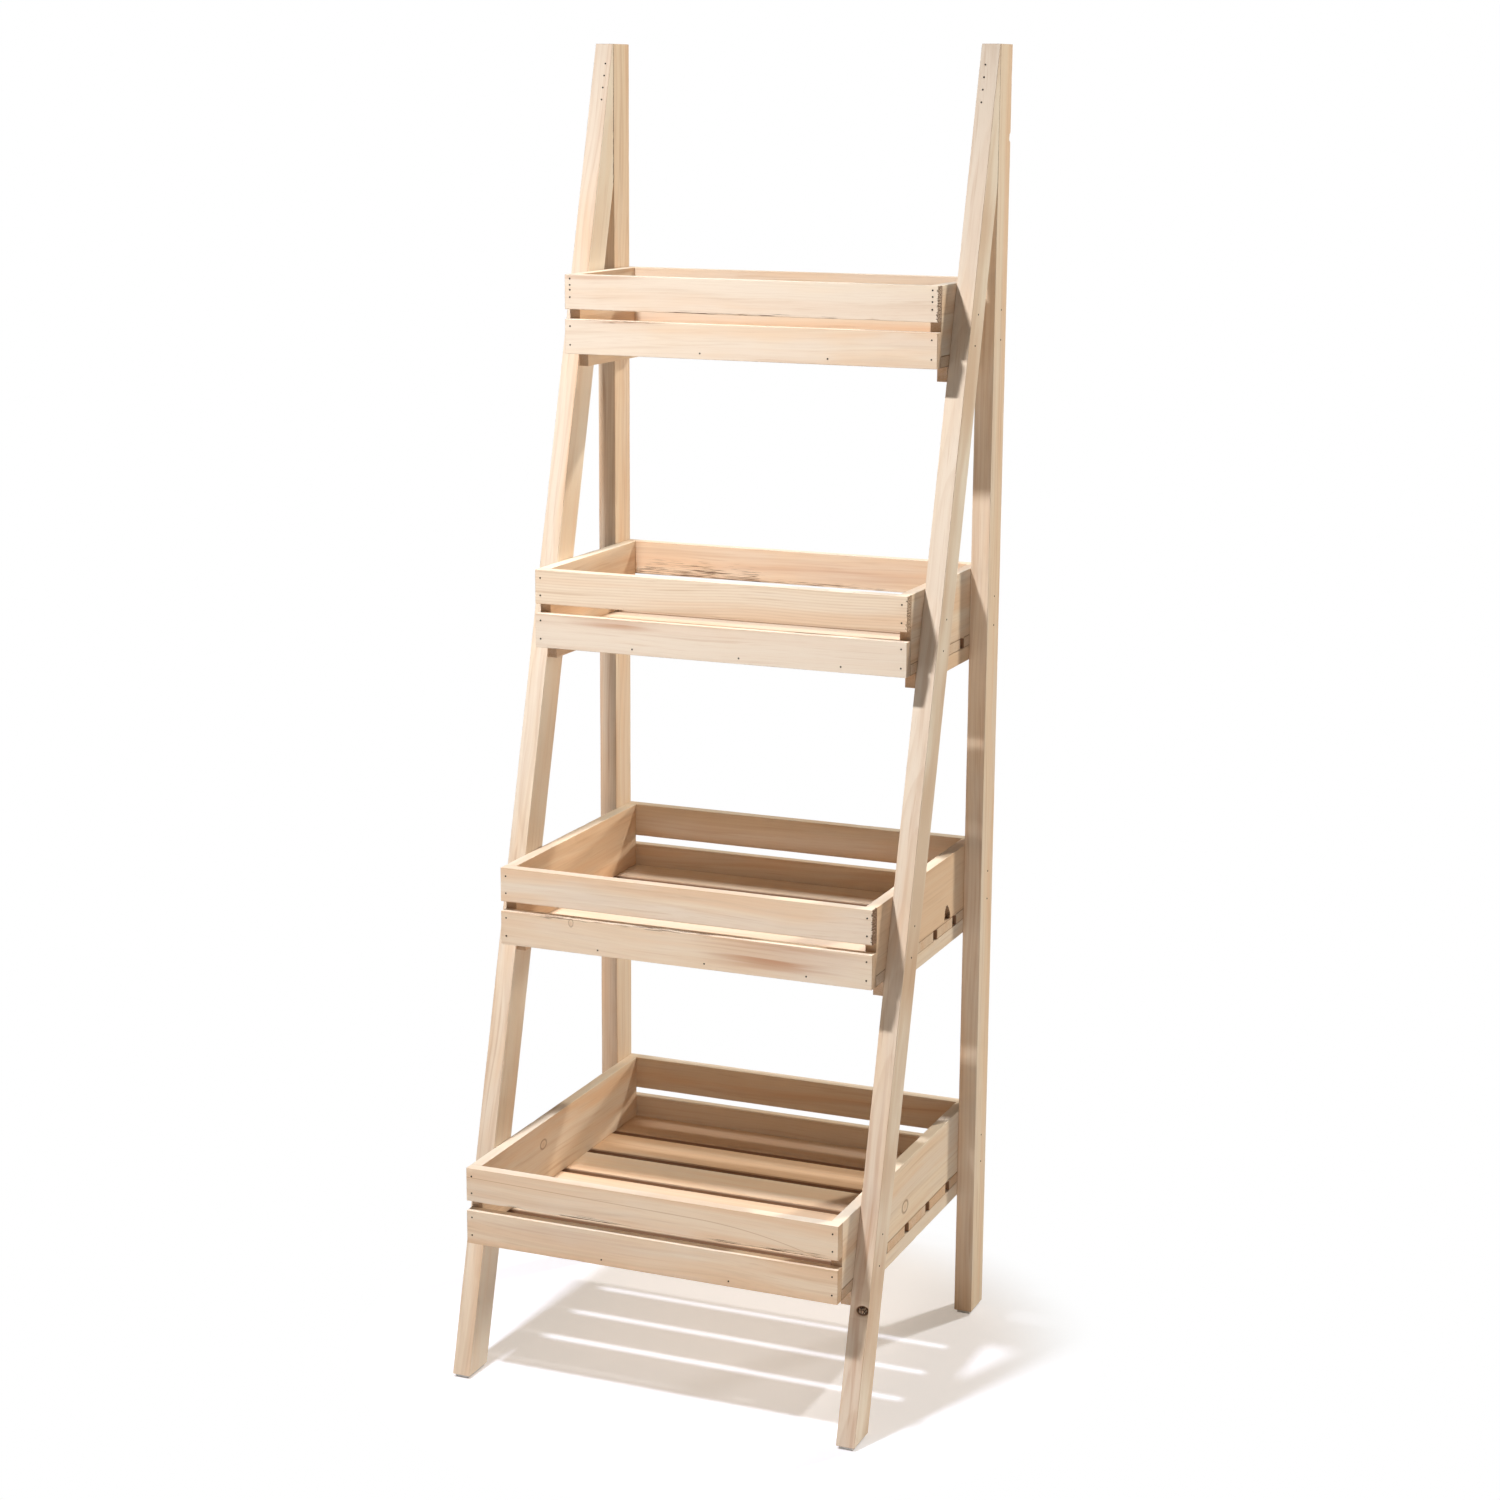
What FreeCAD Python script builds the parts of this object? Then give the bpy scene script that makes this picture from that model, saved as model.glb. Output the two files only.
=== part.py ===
import FreeCAD, Part
import Sketcher

import math
import os

# A free-standing rack in pale softwood: two upright rear posts, two front legs that lean back
# onto them, and four open crate trays that grow deeper towards the floor.
# Frame: X across the rack, -Y is the front, +Z up, origin on the floor under the middle.

TRAY_COUNT = 4
TRAYS = range(1, TRAY_COUNT + 1)
SIDES = ("left", "right")

SIZES = {
    "overall_height": (1600, "floor to the level tops of posts and legs"),
    "tray_width": (480, "outside width of every tray, and the clear width between the legs"),
    "post_width": (23, "width of posts and legs across the rack"),
    "post_depth": (45, "front-to-back depth of the rear posts"),
    "leg_depth": (45, "depth of the front legs, square to their length"),
    "lean_angle": (15, "lean of the front legs from upright, in degrees"),
    "leg_tip": (3, "thickness left at the top of the leg's tapered end"),
    "pad_thick": (4, "thickness of the pads under the feet"),
    "pad_inset": (3, "how far a pad stays inside the edge of its foot"),
    "lowest_rim": (275, "height of the lowest tray's rim"),
    "top_reach": (275, "height of posts and legs above the top tray's rim"),
    "tray_1_overhang": (66.5, "how far the top tray's front stands before the leg, at its rim"),
    "tray_2_overhang": (60.5, "the same for the second tray"),
    "tray_3_overhang": (67.5, "the same for the third tray"),
    "tray_4_overhang": (73, "the same for the lowest tray"),
    "upper_slat_high": (42, "height of the upper front and back slats"),
    "slat_gap": (12, "gap between the upper and the lower slat"),
    "lower_slat_high": (42, "height of the lower front and back slats"),
    "slat_thick": (14, "thickness of the front and back slats"),
    "board_thick": (14, "thickness of the side boards"),
    "floor_thick": (14, "thickness of the floor slats"),
    "floor_gap": (14, "gap between two floor slats"),
    "cleat_wide": (13, "width of the cleats under the floor slats"),
    "cleat_high": (18, "height of the cleats under the floor slats"),
    "nail_shank": (1.4, "diameter of a nail's shank"),
    "nail_head": (2, "diameter of a nail's head"),
    "nail_head_thick": (0.8, "thickness of a nail's head"),
    "nail_proud": (0.3, "how far a nail's head stands out of the wood"),
    "slat_nail_bite": (18, "length of a slat nail beyond the slat"),
    "leg_nail_bite": (10, "length of a leg nail beyond the leg or post"),
    "cleat_nail_bite": (5, "length of a cleat nail beyond the floor slat"),
    "post_nail_inset": (20, "distance of the post nails from the back of the post"),
    "leg_nail_upper_drop": (37, "upper leg nail, below the tray's rim"),
    "leg_nail_lower_drop": (73, "lower leg nail, below the tray's rim"),
    "ridge_nail_first_drop": (24, "first nail through the leg's tip, below its top"),
    "ridge_nail_pitch": (14.5, "height between nails through the leg's tip"),
    "ridge_nail_long": (40, "length of the nails through the leg's tip"),
}

# Counts, and shares of the piece that each one follows.
FLOOR_SLAT_COUNTS = (3, 4, 5, 6)
RIDGE_NAIL_COUNT = 4
RIDGE_NAIL_SHARE = 0.3
TOP_TRAY_UPPER_NAIL_SHARES = (0.12, 0.3, 0.44, 0.65)
UPPER_NAIL_SHARES = (0.24, 0.75)
LOWER_NAIL_SHARES = (0.2, 0.74)
THREE_EDGE_NAILS = (-0.23, 0.06, 0.33)
TWO_EDGE_NAILS = (-0.126, 0.216)
EDGE_NAIL_SHARES = (TWO_EDGE_NAILS, THREE_EDGE_NAILS, THREE_EDGE_NAILS, TWO_EDGE_NAILS)

doc = FreeCAD.newDocument("ladder_rack")
sheet = doc.addObject("Spreadsheet::Sheet", "Sizes")
for row, (alias, (value, meaning)) in enumerate(SIZES.items(), start=1):
    sheet.set(f"A{row}", meaning)
    sheet.set(f"B{row}", str(value))
    sheet.setAlias(f"B{row}", alias)
doc.recompute()


def size(alias):
    """The number that the sheet holds under this name."""
    return float(sheet.get(alias))


# Expressions that several pieces share. The trays divide the height evenly, and each one is as
# deep as the leaning legs are at its rim, plus its overhang.

HALF_WIDTH = "Sizes.tray_width / 2"
TRAY_HIGH = "(Sizes.upper_slat_high + Sizes.slat_gap + Sizes.lower_slat_high)"
TRAY_PITCH = f"((Sizes.overall_height - Sizes.top_reach - Sizes.lowest_rim) / {TRAY_COUNT - 1})"
LEAN = "tan(Sizes.lean_angle * 1 deg)"
FOOT_DEPTH = "Sizes.leg_depth / cos(Sizes.lean_angle * 1 deg)"


def leg_reach(height):
    """Expression for how far the leg's front face is before the posts' rear face, at a height."""
    return f"(Sizes.post_depth + Sizes.leg_tip + (Sizes.overall_height - {height}) * {LEAN})"


def rim_height(number):
    """Expression for the height of a tray's rim."""
    return f"(Sizes.lowest_rim + {TRAY_COUNT - number} * {TRAY_PITCH})"


def tray_depth(number):
    """Expression for a tray's depth from front to back."""
    return f"({leg_reach(rim_height(number))} + Sizes.tray_{number}_overhang)"


def low_x(side):
    """Expression for the left-hand face of the leg and post on one side."""
    return HALF_WIDTH if side == "right" else f"-{HALF_WIDTH} - Sizes.post_width"


REAR = f"{tray_depth(TRAY_COUNT)} / 2"


def add_box(name, lengths, corner):
    """A box whose three lengths and lowest corner are bound to the sheet."""
    box = doc.addObject("Part::Box", name)
    for side, expression in zip(("Length", "Width", "Height"), lengths):
        box.setExpression(side, expression)
    for axis, expression in zip("xyz", corner):
        box.setExpression(f"Placement.Base.{axis}", expression)
    return box


# Rear posts: upright bars from the pads to the top.

blanks = {}
for side in SIDES:
    blanks[f"rear_post_{side}"] = add_box(
        f"rear_post_{side}_blank",
        ("Sizes.post_width", "Sizes.post_depth", "Sizes.overall_height - Sizes.pad_thick"),
        (low_x(side), f"{REAR} - Sizes.post_depth", "Sizes.pad_thick"),
    )


# Front legs: straight leaning bars, cut level at both ends and upright where they lie on the post.

def leg_outline():
    """Corners of the leg's side view, as (depth, height), from the top front corner round."""
    lean = math.tan(math.radians(size("lean_angle")))
    foot_depth = size("leg_depth") / math.cos(math.radians(size("lean_angle")))
    seam = -size("post_depth")
    top = size("overall_height")
    foot = size("pad_thick")
    tip = seam - size("leg_tip")
    foot_front = tip - (top - foot) * lean
    seam_low = top - (foot_depth - size("leg_tip")) / lean
    return [(tip, top), (seam, top), (seam, seam_low), (foot_front + foot_depth, foot), (foot_front, foot)]


def add_leg(side):
    """The leaning leg as a padded side view, drawn from the posts' rear face and tied to the sheet."""
    body = doc.addObject("PartDesign::Body", f"front_leg_{side}_blank")
    plane = [item for item in body.Origin.OriginFeatures if item.Role == "YZ_Plane"][0]
    sketch = body.newObject("Sketcher::SketchObject", f"leg_side_view_{side}")
    sketch.AttachmentSupport = [(plane, "")]
    sketch.MapMode = "FlatFace"
    corners = [FreeCAD.Vector(depth, height, 0) for depth, height in leg_outline()]
    count = len(corners)
    for index in range(count):
        sketch.addGeometry(Part.LineSegment(corners[index], corners[(index + 1) % count]), False)
    for index in range(count):
        sketch.addConstraint(Sketcher.Constraint("Coincident", index, 2, (index + 1) % count, 1))
    top, seam, back, foot, front = range(count)
    sketch.addConstraint(Sketcher.Constraint("Horizontal", top))
    sketch.addConstraint(Sketcher.Constraint("Vertical", seam))
    sketch.addConstraint(Sketcher.Constraint("Horizontal", foot))
    sketch.addConstraint(Sketcher.Constraint("Parallel", back, front))
    tip, seam_top, _, foot_back, foot_front = corners
    leg_run = f"(Sizes.overall_height - Sizes.pad_thick) * {LEAN}"
    bound = [
        (("DistanceX", top, 1, top, 2, seam_top.x - tip.x), "Sizes.leg_tip"),
        (("DistanceX", seam, 1, -1, 1, -seam_top.x), "Sizes.post_depth"),
        (("DistanceY", -1, 1, seam, 1, seam_top.y), "Sizes.overall_height"),
        (("DistanceY", -1, 1, front, 1, foot_front.y), "Sizes.pad_thick"),
        (("DistanceX", foot, 2, foot, 1, foot_back.x - foot_front.x), FOOT_DEPTH),
        (("DistanceX", front, 1, front, 2, tip.x - foot_front.x), leg_run),
    ]
    for arguments, expression in bound:
        index = sketch.addConstraint(Sketcher.Constraint(*arguments))
        sketch.setExpression(f"Constraints[{index}]", expression)
    pad = body.newObject("PartDesign::Pad", f"leg_bar_{side}")
    pad.Profile = sketch
    pad.setExpression("Length", "Sizes.post_width")
    body.setExpression("Placement.Base.x", low_x(side))
    body.setExpression("Placement.Base.y", REAR)
    return body


for side in SIDES:
    blanks[f"front_leg_{side}"] = add_leg(side)
frame_names = list(blanks)


# Trays: two slats in front, two behind, two side boards, floor slats and two cleats below them.

def add_tray(number):
    """Every board of one tray, by name."""
    boards = {}
    rim = rim_height(number)
    bottom = f"{rim} - {TRAY_HIGH}"
    front = f"{REAR} - {tray_depth(number)}"
    levels = {
        "upper": ("Sizes.upper_slat_high", f"{rim} - Sizes.upper_slat_high"),
        "lower": ("Sizes.lower_slat_high", bottom),
    }
    for face, y in {"front": front, "back": f"{REAR} - Sizes.slat_thick"}.items():
        for level, (high, low) in levels.items():
            lengths = ("Sizes.tray_width", "Sizes.slat_thick", high)
            boards[f"{face}_{level}_slat"] = (lengths, (f"-{HALF_WIDTH}", y, low))

    inside_front = f"{front} + Sizes.slat_thick"
    inside_depth = f"{tray_depth(number)} - 2 * Sizes.slat_thick"
    cleat_low = f"{bottom} - Sizes.cleat_high"
    cleat_reach = leg_reach(f"({cleat_low} + Sizes.cleat_high / 2)")
    for side in SIDES:
        x = f"{HALF_WIDTH} - Sizes.board_thick" if side == "right" else f"-{HALF_WIDTH}"
        lengths = ("Sizes.board_thick", inside_depth, f"{TRAY_HIGH} - Sizes.floor_thick")
        boards[f"side_board_{side}"] = (lengths, (x, inside_front, f"{bottom} + Sizes.floor_thick"))
        x = f"{HALF_WIDTH} - Sizes.cleat_wide" if side == "right" else f"-{HALF_WIDTH}"
        lengths = ("Sizes.cleat_wide", cleat_reach, "Sizes.cleat_high")
        boards[f"cleat_{side}"] = (lengths, (x, f"{REAR} - {cleat_reach}", cleat_low))

    count = FLOOR_SLAT_COUNTS[number - 1]
    width = f"({inside_depth} - {count - 1} * Sizes.floor_gap) / {count}"
    for index in range(count):
        lengths = ("Sizes.tray_width", width, "Sizes.floor_thick")
        y = f"{inside_front} + {index} * ({width} + Sizes.floor_gap)"
        boards[f"floor_slat_{index + 1}"] = (lengths, (f"-{HALF_WIDTH}", y, bottom))
    return {
        f"tray_{number}_{name}": add_box(f"tray_{number}_{name}_blank", lengths, corner)
        for name, (lengths, corner) in boards.items()
    }


trays = {number: add_tray(number) for number in TRAYS}
for boards in trays.values():
    blanks.update(boards)
doc.recompute()


# Nails: a flat head on a round shank. Each one is placed from the boards that it joins.

def bounds(name):
    """The box that a blank fills."""
    return blanks[name].Shape.BoundBox


def drive(point, direction, length):
    """A nail driven in at a point of the surface, its head a little proud."""
    start = point - direction * size("nail_proud")
    shank = Part.makeCylinder(size("nail_shank") / 2, length + size("nail_proud"), start, direction)
    head = Part.makeCylinder(size("nail_head") / 2, size("nail_head_thick"), start, direction)
    return head.fuse(shank)


def leg_front(side, height):
    """Depth of the leaning leg's front face at a height."""
    leg = bounds(f"front_leg_{side}")
    return leg.YMin + (height - leg.ZMin) * math.tan(math.radians(size("lean_angle")))


def slat_nails(number):
    """Nails through the front and back slats, into the side boards and the floor."""
    upper_shares = TOP_TRAY_UPPER_NAIL_SHARES if number == TRAYS[0] else UPPER_NAIL_SHARES
    length = size("slat_thick") + size("slat_nail_bite")
    nails = []
    for face, direction in (("front", FreeCAD.Vector(0, 1, 0)), ("back", FreeCAD.Vector(0, -1, 0))):
        places = []
        for level, shares in (("upper", upper_shares), ("lower", LOWER_NAIL_SHARES)):
            slat = bounds(f"tray_{number}_{face}_{level}_slat")
            end = size("board_thick") / 2
            for share in shares:
                places += [(x, slat.ZMax - share * slat.ZLength) for x in (slat.XMin + end, slat.XMax - end)]
        edge_height = slat.ZMin + size("floor_thick") / 2
        places += [(share * slat.XLength, edge_height) for share in EDGE_NAIL_SHARES[number - 1]]
        y = slat.YMin if face == "front" else slat.YMax
        nails += [drive(FreeCAD.Vector(x, y, z), direction, length) for x, z in places]
    return nails


def leg_nails(number):
    """Nails from outside, through legs and posts into the side boards."""
    half_foot = size("leg_depth") / math.cos(math.radians(size("lean_angle"))) / 2
    length = size("post_width") + size("leg_nail_bite")
    nails = []
    for side in SIDES:
        post = bounds(f"rear_post_{side}")
        rim = bounds(f"tray_{number}_side_board_{side}").ZMax
        x = post.XMax if side == "right" else post.XMin
        inward = FreeCAD.Vector(-math.copysign(1, x), 0, 0)
        for alias in ("leg_nail_upper_drop", "leg_nail_lower_drop"):
            z = rim - size(alias)
            for y in (leg_front(side, z) + half_foot, post.YMax - size("post_nail_inset")):
                nails.append(drive(FreeCAD.Vector(x, y, z), inward, length))
    return nails


def cleat_nails(number):
    """Nails from below, through the cleats and the ends of the floor slats."""
    length = size("cleat_high") + size("floor_thick") + size("cleat_nail_bite")
    nails = []
    for side in SIDES:
        cleat = bounds(f"tray_{number}_cleat_{side}")
        for index in range(FLOOR_SLAT_COUNTS[number - 1]):
            slat = bounds(f"tray_{number}_floor_slat_{index + 1}")
            y = (max(slat.YMin, cleat.YMin) + min(slat.YMax, cleat.YMax)) / 2
            place = FreeCAD.Vector(cleat.Center.x, y, cleat.ZMin)
            nails.append(drive(place, FreeCAD.Vector(0, 0, 1), length))
    return nails


def ridge_nails():
    """The rows of nails through the tapered tops of the legs into the posts."""
    lean = math.radians(size("lean_angle"))
    into_leg = FreeCAD.Vector(0, math.cos(lean), -math.sin(lean))
    nails = []
    for side in SIDES:
        leg = bounds(f"front_leg_{side}")
        inset = RIDGE_NAIL_SHARE * leg.XLength
        x = leg.XMin + inset if side == "right" else leg.XMax - inset
        for index in range(RIDGE_NAIL_COUNT):
            z = leg.ZMax - size("ridge_nail_first_drop") - index * size("ridge_nail_pitch")
            place = FreeCAD.Vector(x, leg_front(side, z), z)
            nails.append(drive(place, into_leg, size("ridge_nail_long")))
    return nails


def add_nails(name, nails):
    """One node that holds a group of separate nails."""
    group = doc.addObject("Part::Feature", name)
    group.Shape = Part.Compound(nails)
    group.Placement = FreeCAD.Placement()
    return group


tray_nails = {
    number: add_nails(f"tray_{number}_nails", slat_nails(number) + leg_nails(number) + cleat_nails(number))
    for number in TRAYS
}
ridge_group = add_nails("ridge_nails", ridge_nails())
all_nails = doc.addObject("Part::Compound", "all_nails")
all_nails.Links = [*tray_nails.values(), ridge_group]


# Finished pieces: each blank with a hole for every nail that passes through it.

def drill(name, nails):
    """The blank of this name, less the nails."""
    piece = doc.addObject("Part::Cut", name)
    piece.Base = blanks[name]
    piece.Tool = nails
    return piece


pieces = [drill(name, all_nails) for name in frame_names]
for number, boards in trays.items():
    pieces += [drill(name, tray_nails[number]) for name in boards]


# Foot pads: one under each post and leg, a little smaller than the foot.

pads = []
feet = {
    "rear": ("Sizes.post_depth", f"{REAR} - Sizes.post_depth"),
    "front": (FOOT_DEPTH, f"{REAR} - {leg_reach('Sizes.pad_thick')}"),
}
for side in SIDES:
    for place, (depth, y) in feet.items():
        lengths = (
            "Sizes.post_width - 2 * Sizes.pad_inset",
            f"{depth} - 2 * Sizes.pad_inset",
            "Sizes.pad_thick",
        )
        corner = (f"{low_x(side)} + Sizes.pad_inset", f"{y} + Sizes.pad_inset", "0")
        pads.append(add_box(f"{place}_{side}_pad", lengths, corner))
foot_pads = doc.addObject("Part::Compound", "foot_pads")
foot_pads.Links = pads

doc.recompute()

for item in doc.Objects:
    if "Invalid" in item.State or "Error" in item.State:
        raise RuntimeError(f"{item.Label} failed: {item.State}")
nodes = [*pieces, *tray_nails.values(), ridge_group, foot_pads]
for item in nodes:
    if item.Shape.isNull() or not item.Shape.isValid():
        raise RuntimeError(f"{item.Label} has no valid shape")
for item in pieces:
    if len(item.Shape.Solids) != 1:
        raise RuntimeError(f"{item.Label} is {len(item.Shape.Solids)} solids")

os.makedirs("parts", exist_ok=True)
for item in nodes:
    item.Shape.exportStep(f"parts/{item.Label}.step")
print(len(nodes), "nodes written")
box = Part.Compound([item.Shape for item in nodes]).BoundBox
print("box", [round(value, 2) for value in (box.XMin, box.YMin, box.ZMin, box.XMax, box.YMax, box.ZMax)])
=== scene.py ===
# %% [markdown]
# # A ladder rack in limed softwood
# The rack is four leaning or upright bars and four open crates of thin slats, all nailed.
# The solids give every size. This lesson dresses them: it replaces each square-edged solid
# with a board that has eased edges, nicks, knots and real grain, and then lights the whole.

# %% Load the solids
import math
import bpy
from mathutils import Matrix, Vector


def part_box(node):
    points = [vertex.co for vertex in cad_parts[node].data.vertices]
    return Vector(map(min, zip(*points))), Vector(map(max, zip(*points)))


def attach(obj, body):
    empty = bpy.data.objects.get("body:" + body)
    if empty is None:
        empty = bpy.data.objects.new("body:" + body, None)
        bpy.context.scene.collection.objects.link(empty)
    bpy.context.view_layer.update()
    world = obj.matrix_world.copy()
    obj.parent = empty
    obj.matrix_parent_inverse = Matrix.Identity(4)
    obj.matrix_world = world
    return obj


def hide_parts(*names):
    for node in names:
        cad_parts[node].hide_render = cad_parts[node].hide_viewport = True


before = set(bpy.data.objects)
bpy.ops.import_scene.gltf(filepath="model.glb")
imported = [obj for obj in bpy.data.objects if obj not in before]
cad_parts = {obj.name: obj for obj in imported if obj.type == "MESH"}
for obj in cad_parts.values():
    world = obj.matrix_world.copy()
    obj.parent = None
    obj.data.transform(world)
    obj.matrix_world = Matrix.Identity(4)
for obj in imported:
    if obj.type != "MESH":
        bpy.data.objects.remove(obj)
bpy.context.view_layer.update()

from types import SimpleNamespace

import bpy
import numpy as np
from mathutils import Matrix, Vector

# %% [markdown]
# ## Cross-section of a board
# A planed board is a rectangle whose four edges were broken with a plane or sandpaper.
# A Bevel modifier on a box would do this too, but the bevel is then the same everywhere.
# Here the section is a table: each point of it belongs to a corner (or lies between two), and
# has an outward direction. The radius comes later, so that it can change along the board.

# %% Section table
# Places of the points along a flat, from one corner at 1 to the next at -1.
PLAIN_FLAT = np.array([0.84, 0.4, 0.0, -0.4, -0.84])
FINE_FLAT = np.linspace(0.95, -0.95, 27)
ARC_STEPS = 3


def section_table(flat):
    """Once round the section, anticlockwise, with one column for each point.

    The rows are the corner, the share of the way to the next one, the direction (nu, nv) and the
    edge flag. At a corner the share is 0 and the direction turns by a quarter circle. Along a flat
    the direction stays, and the share runs from 0 to 1."""
    rows = []
    for corner in range(4):
        for step in range(ARC_STEPS + 1):
            angle = math.radians(90 * corner + 90 * step / ARC_STEPS)
            rows.append((corner, 0.0, math.cos(angle), math.sin(angle), 1.0))
        rows += [(corner, (1 - place) / 2, math.cos(angle), math.sin(angle), 0.0) for place in flat]
    return np.array(rows).T


plain_section, fine_section = section_table(PLAIN_FLAT), section_table(FINE_FLAT)
print("section:", plain_section.shape[1], "points,", fine_section.shape[1], "on a board with flaws")

# %% [markdown]
# ## Flaws
# Cheap softwood shows its history. A random scatter would do for some rack, but not for this
# one, so the flaws that a look at it finds are listed, each with its place in metres: along the
# board and across it. A face of 1 is the board's own front, -1 its back.
# - A knot is the root of a branch: the year rings bend round it, and a ring groove is left.
# - A notch is a piece broken out of an edge, right through the board.
# - A chip or a tear takes away an edge only.
# - A scar is rough, dark fibre along an edge, and a rough end is the same where a saw came out.
# - A blot is a soft reddish stain. An arch is one strong year line that curves down to an end.
# - One leg has a mood of its own on its outer side, and grows paler towards its top. The three
#   numbers of a mood are explained with the finish.

# %% Flaws of single boards
KNOTS = {
    "front_leg_right": dict(along=0.158, across=0.2556, face=-1,
                            size=(0.0048, 0.0068), depth=0.0014, dark=1.3),
    "tray_4_side_board_left": dict(along=-0.057, across=0.246, face=1,
                                   size=(0.0085, 0.0060), depth=0.0003, dark=0.62),
    "tray_4_side_board_right": dict(along=-0.007, across=0.217, face=1,
                                    size=(0.0105, 0.0075), depth=0.0003, dark=0.70),
    "tray_3_front_lower_slat": dict(along=-0.146, across=0.566, face=1,
                                    size=(0.0030, 0.0050), depth=0.0003, dark=0.55),
}
NOTCHES = {"tray_3_side_board_right": dict(along=0.1315, half_wide=0.0115, high=0.018)}
CHIPS = {
    "rear_post_right": [dict(along=1.492, reach=0.0045, corner=(1, -1), depth=0.0075)],
    "tray_4_front_upper_slat": [dict(along=-0.177, reach=0.012, corner=(-1, 1), depth=0.0030),
                                dict(along=0.165, reach=0.050, corner=(-1, 1), depth=0.0012)],
    "tray_3_front_upper_slat": [dict(along=-0.005, reach=0.004, corner=(1, 1), depth=0.0014)],
    "tray_1_front_upper_slat": [dict(along=0.160, reach=0.008, corner=(-1, 1), depth=0.0014)],
}
SCARS = {
    "tray_4_front_upper_slat": [dict(start=-0.196, stop=-0.160, edge=-1, face=1, dark=1.00, deep=0.004),
                                dict(start=0.070, stop=0.236, edge=-1, face=1, dark=1.05, deep=0.006),
                                dict(start=-0.140, stop=-0.020, edge=-1, face=1, dark=0.90, deep=0.005)],
    "tray_2_back_upper_slat": [dict(start=-0.240, stop=-0.040, edge=-1, face=1, dark=0.95, deep=0.024),
                               dict(start=-0.120, stop=0.226, edge=-1, face=1, dark=0.80, deep=0.006)],
    "tray_1_front_upper_slat": [dict(start=-0.110, stop=0.150, edge=-1, face=1, dark=0.90, deep=0.003)],
    "tray_1_front_lower_slat": [dict(start=-0.232, stop=-0.08, edge=1, face=1, dark=0.65, deep=0.004)],
    "tray_3_front_lower_slat": [dict(start=-0.236, stop=0.05, edge=1, face=1, dark=0.75, deep=0.004)],
    "tray_4_side_board_right": [dict(start=0.07, stop=0.21, edge=-1, face=1, dark=0.65, deep=0.004)],
}
ROUGH_ENDS = {
    "tray_1_front_upper_slat": 0.85,
    "tray_2_front_upper_slat": 0.6,
    "tray_3_front_upper_slat": 1.15,
}
TAN_SIDES = {"front_leg_right": (2.6, 0.4, -0.5)}
PALER_TOPS = {"front_leg_right": (-0.6, -0.4, 1.6)}
BLOTS = {
    "tray_1_front_upper_slat": dict(along=-0.19, across=1.322, size=(0.10, 0.012), dark=0.35),
    "tray_1_front_lower_slat": dict(along=-0.17, across=1.269, size=(0.11, 0.011), dark=0.35),
    "tray_2_front_lower_slat": dict(along=-0.135, across=0.917, size=(0.085, 0.012), dark=0.68),
    "tray_3_front_lower_slat": dict(along=0.120, across=0.555, size=(0.13, 0.028), dark=0.75),
    "tray_4_front_lower_slat": dict(along=-0.10, across=0.205, size=(0.17, 0.016), dark=0.45),
    "tray_2_back_upper_slat": dict(along=0.05, across=0.952, size=(0.20, 0.014), dark=0.35),
    "front_leg_right": dict(along=0.10, across=0.2515, face=-1, size=(0.55, 0.10), dark=0.30),
}
ARCHED = {"tray_4_front_upper_slat": dict(start=0.06, run=0.15, level=0.60, tilt=0.5, fall=0.46, dark=0.62)}
flawed = {*KNOTS, *NOTCHES, *CHIPS, *SCARS, *ROUGH_ENDS}
print("boards with flaws:", sorted(flawed))

# %% [markdown]
# ## A board as one grid
# The section is carried along the board, from the middle of one end to the middle of the other:
# up the end's flat, round its edge, along the length, and back down. That makes the board a
# function of two parameters (place along, place round), so numpy works out all points at once.
# Hand-planed edges are not even, so the edge radius follows a slow random wave, and a few
# nicks make it larger for a few millimetres. The flats bow inwards by a hair.

# %% Smooth random waves
OCTAVE_SHARE = 0.6
GOLDEN_RATIO = 1.618
WAVE_SIZE = 1.6


def wave(rng, x, length, octaves=4):
    """Sum of pairs of cosines of x with random phases, about -1 to 1.

    Each octave is twice as fine as the one before and 0.6 as strong. The second cosine of a pair is
    faster by the golden ratio, so that the wave doesn't repeat."""
    total = np.zeros_like(x, float)
    for octave in range(octaves):
        phase = rng.uniform(0, 2 * math.pi, 2)
        speed = 2 * math.pi * 2 ** octave / length
        pair = np.cos(speed * x + phase[0]) + np.cos(GOLDEN_RATIO * speed * x + phase[1])
        total += OCTAVE_SHARE ** octave * pair / 2
    return total / WAVE_SIZE


print("a wave:", np.round(wave(np.random.default_rng(1), np.linspace(0, 1, 5), 1.0), 2))

# %% Edge wear
# Metres, and shares of the usual edge radius.
EDGE_RADIUS = 0.0007
EDGE_SWING_SHARE = 0.4
EDGE_WAVE_LENGTH = 0.21
LEAST_EDGE_SHARE = 0.4
MOST_NICKS = 2
NICK_DEPTH = 0.0011
NICK_REACH = 0.007
LEAST_NICK_SHARE = 0.2
RAGGED_LENGTH = 0.012
CORNERS = [(1, 1), (-1, 1), (-1, -1), (1, -1)]


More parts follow.
